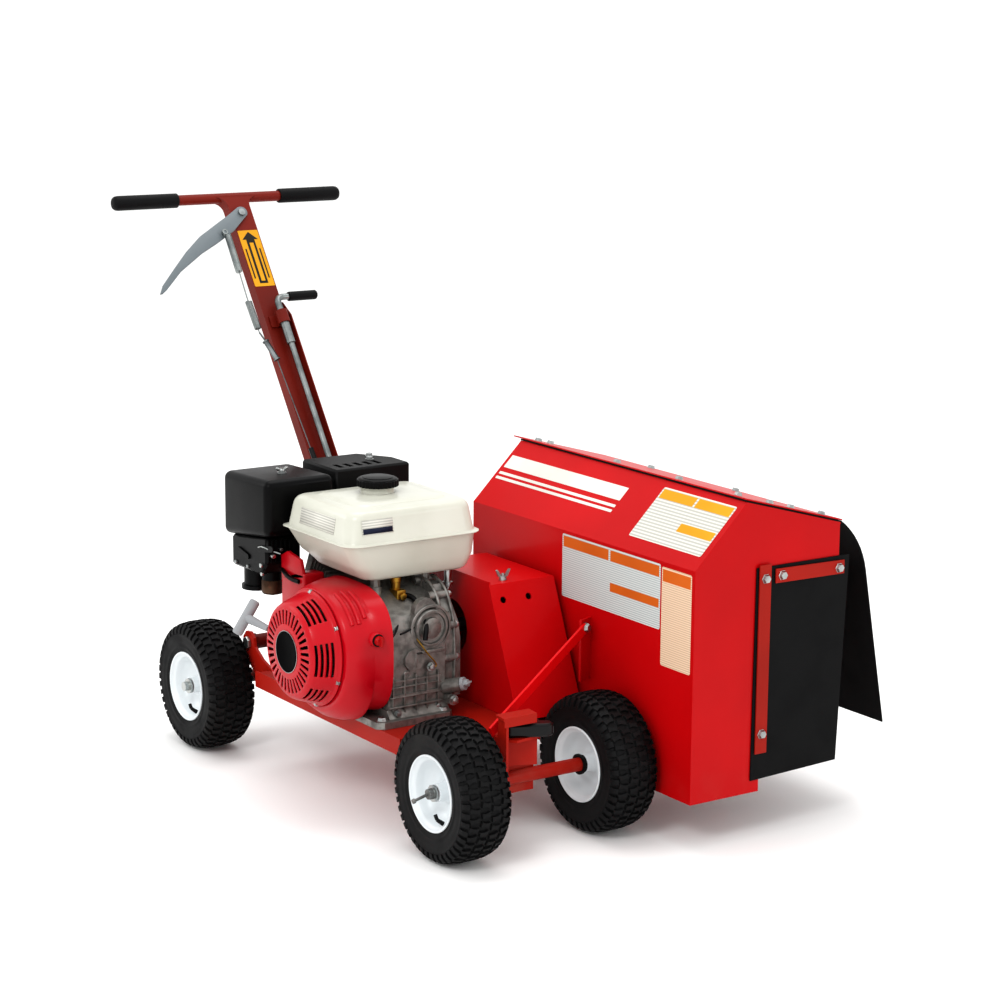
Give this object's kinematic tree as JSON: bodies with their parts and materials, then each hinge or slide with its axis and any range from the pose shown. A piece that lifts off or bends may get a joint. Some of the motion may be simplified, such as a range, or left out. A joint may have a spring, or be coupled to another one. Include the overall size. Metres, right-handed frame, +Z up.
{
  "type": "bed edger",
  "caption": "Walk-behind powered bed edger: low wheeled frame, petrol engine, belt-driven cutter rotor under a folded hood, and a leaning T-handle with clutch lever and depth rod.",
  "frame": {"origin": "on the ground, at the centre of the machine's outline seen from above", "axes": "+Z up, +Y towards the operator at the handle, +X towards the rotor hood"},
  "size_m": [0.9888, 1.45, 1.0622],
  "materials": {
    "frame_paint": "satin",
    "column_paint": "satin",
    "hood_paint": "gloss",
    "grip_rubber": "matte",
    "lever_paint": "satin",
    "black_paint": "satin",
    "zinc": "satin",
    "sheath": "satin",
    "tyre": "matte",
    "rim_paint": "gloss",
    "flap_rubber": "matte",
    "belt_rubber": "matte",
    "shaft_steel": "satin",
    "rotor_iron": "matte",
    "engine_cast": "matte",
    "cover_red": "gloss",
    "tank_cream": "gloss",
    "engine_black": "satin",
    "muffler_steel": "matte",
    "grip_grey": "satin",
    "rope": "matte",
    "knob_red": "gloss"
  },
  "bodies": {
    "frame": {"main_frame": "frame_paint", "front_axle": "frame_paint", "brace_bar": "hood_paint", "handle_column": "column_paint", "grip_left": "grip_rubber", "grip_right": "grip_rubber", "lever_bolt": "zinc", "clutch_cable": "sheath", "screw_sleeve": "zinc", "arm_pivot_bolt": "zinc", "hood_shell": "hood_paint", "roof_plate": "hood_paint", "flap_edge": "flap_rubber", "end_flap": "flap_rubber", "flap_strip_side": "frame_paint", "flap_strip_top": "frame_paint", "belt_guard": "hood_paint", "drive_belt": "belt_rubber", "shaft_bearing": "rotor_iron", "crankcase": "engine_cast", "cylinder_head": "engine_cast", "fan_cover": "cover_red", "recoil_cover": "cover_red", "recoil_rope": "rope", "fuel_tank": "tank_cream", "air_cleaner": "engine_black", "carburettor": "engine_black", "muffler": "muffler_steel", "muffler_guard": "black_paint"},
    "wheel_front_left": {"tyre_front_left": "tyre", "rim_front_left": "rim_paint"},
    "wheel_front_right": {"tyre_front_right": "tyre", "rim_front_right": "rim_paint"},
    "rear_arms": {"rear_axle": "frame_paint"},
    "wheel_rear_left": {"tyre_rear_left": "tyre", "rim_rear_left": "rim_paint"},
    "wheel_rear_right": {"tyre_rear_right": "tyre", "rim_rear_right": "rim_paint"},
    "hand_lever": {"clutch_lever": "lever_paint"},
    "clutch_link": {"pull_tube": "zinc", "clutch_spring": "zinc", "turnbuckle": "zinc"},
    "depth_crank": {"depth_screw": "zinc", "crank_grip": "grip_rubber"},
    "travel_nut": {"depth_nut": "zinc"},
    "lock_arm": {"lock_lever": "black_paint"},
    "crank": {"crankshaft": "shaft_steel"},
    "rotor": {"rotor_shaft": "shaft_steel", "cutter_rotor": "rotor_iron"},
    "idler": {"idler_arm": "black_paint"},
    "idler_wheel": {"idler_pulley": "zinc"},
    "starter": {"starter_reel": "engine_black"},
    "pull_grip": {"recoil_grip": "grip_grey"},
    "side_curtain": {"side_flap": "flap_rubber"},
    "tank_cap": {"fuel_cap": "engine_black"},
    "oil_cap": {"dipstick": "grip_grey"},
    "guard_nut": {"wing_nut": "zinc"},
    "stop_knob": {"stop_switch": "knob_red"},
    "throttle": {"throttle_lever": "zinc"},
    "choke": {"choke_lever": "zinc"}
  },
  "joints": [
    {"name": "front_left_wheel_spin", "type": "hinge", "parent": "frame", "child": "wheel_front_left", "pos_m": [-0.3284, -0.5189, 0.127], "axis": [1, 0, 0], "continuous": true},
    {"name": "front_right_wheel_spin", "type": "hinge", "parent": "frame", "child": "wheel_front_right", "pos_m": [-0.0164, -0.5189, 0.127], "axis": [1, 0, 0], "continuous": true},
    {"name": "depth_rod_slide", "type": "slide", "parent": "frame", "child": "travel_nut", "axis": [0, 0.5764, 0.8171], "range_m": [-0.01, 0.02]},
    {"name": "depth_rod_turn", "type": "hinge", "parent": "travel_nut", "child": "depth_crank", "pos_m": [-0.0854, 0.50672, 0.81726], "axis": [0, 0.5764, 0.8171], "range_deg": [-100, 0]},
    {"name": "rear_arms_swing", "type": "hinge", "parent": "frame", "child": "rear_arms", "pos_m": [0.0109, 0.2261, 0.222], "axis": [-1, 0, 0], "range_deg": [-10.2, 10.2]},
    {"name": "rear_left_wheel_spin", "type": "hinge", "parent": "rear_arms", "child": "wheel_rear_left", "pos_m": [-0.3754, 0.3111, 0.127], "axis": [1, 0, 0], "continuous": true},
    {"name": "rear_right_wheel_spin", "type": "hinge", "parent": "rear_arms", "child": "wheel_rear_right", "pos_m": [0.0306, 0.3111, 0.127], "axis": [1, 0, 0], "continuous": true},
    {"name": "clutch_lever_pull", "type": "hinge", "parent": "frame", "child": "hand_lever", "pos_m": [-0.0954, 0.66858, 1.01514], "axis": [0, 0.8171, -0.5764], "range_deg": [0, 30]},
    {"name": "clutch_link_swing", "type": "hinge", "parent": "hand_lever", "child": "clutch_link", "pos_m": [-0.1524, 0.62947, 0.98398], "axis": [0, 0.8171, -0.5764], "range_deg": [-32, 0]},
    {"name": "idler_arm_swing", "type": "hinge", "parent": "frame", "child": "idler", "pos_m": [-0.0434, -0.1889, 0.388], "axis": [1, 0, 0], "range_deg": [0, 4]},
    {"name": "idler_pulley_spin", "type": "hinge", "parent": "idler", "child": "idler_wheel", "pos_m": [-0.0434, -0.299, 0.3353], "axis": [1, 0, 0], "continuous": true},
    {"name": "lock_lever_turn", "type": "hinge", "parent": "frame", "child": "lock_arm", "pos_m": [-0.2119, -0.5549, 0.2145], "axis": [0, 0, 1], "range_deg": [-40, 40]},
    {"name": "crankshaft_spin", "type": "hinge", "parent": "frame", "child": "crank", "pos_m": [-0.2284, -0.1819, 0.317], "axis": [1, 0, 0], "continuous": true},
    {"name": "rotor_spin", "type": "hinge", "parent": "frame", "child": "rotor", "pos_m": [0.1916, -0.3189, 0.215], "axis": [1, 0, 0], "continuous": true},
    {"name": "recoil_grip_pull", "type": "slide", "parent": "frame", "child": "pull_grip", "axis": [0, 1, 0], "range_m": [0, 0.3], "stiffness_N_per_m": 20},
    {"name": "starter_reel_turn", "type": "hinge", "parent": "frame", "child": "starter", "pos_m": [-0.4424, -0.1819, 0.317], "axis": [-1, 0, 0], "range_deg": [0, 350]},
    {"name": "side_flap_lift", "type": "hinge", "parent": "frame", "child": "side_curtain", "pos_m": [0.37385, -0.3689, 0.55946], "axis": [0, -1, 0], "range_deg": [0, 60]},
    {"name": "fuel_cap_turn", "type": "hinge", "parent": "frame", "child": "tank_cap", "pos_m": [-0.2334, -0.1139, 0.59], "axis": [0, 0, 1], "range_deg": [0, 90]},
    {"name": "dipstick_turn", "type": "hinge", "parent": "frame", "child": "oil_cap", "pos_m": [-0.1792, -0.3187, 0.2465], "axis": [0.5486, -0.798, 0.2494], "range_deg": [0, 360]},
    {"name": "guard_nut_turn", "type": "hinge", "parent": "frame", "child": "guard_nut", "pos_m": [-0.0664, -0.2829, 0.43], "axis": [0, 0, 1], "continuous": true},
    {"name": "stop_switch_turn", "type": "hinge", "parent": "frame", "child": "stop_knob", "pos_m": [-0.3544, -0.3152, 0.352], "axis": [0, -1, 0], "range_deg": [0, 60]},
    {"name": "throttle_turn", "type": "hinge", "parent": "frame", "child": "throttle", "pos_m": [-0.4007, 0.0411, 0.456], "axis": [1, 0, 0], "range_deg": [-15, 15]},
    {"name": "choke_turn", "type": "hinge", "parent": "frame", "child": "choke", "pos_m": [-0.4007, 0.1211, 0.44], "axis": [1, 0, 0], "range_deg": [-15, 15]}
  ],
  "couplings": [
    {"joint": "rear_arms_swing", "follows": "depth_rod_slide", "rad_per_m": 8.812},
    {"joint": "clutch_link_swing", "follows": "clutch_lever_pull", "ratio": -1.0575},
    {"joint": "idler_arm_swing", "follows": "clutch_lever_pull", "ratio": 0.125},
    {"joint": "starter_reel_turn", "follows": "recoil_grip_pull", "rad_per_m": 20}
  ]
}
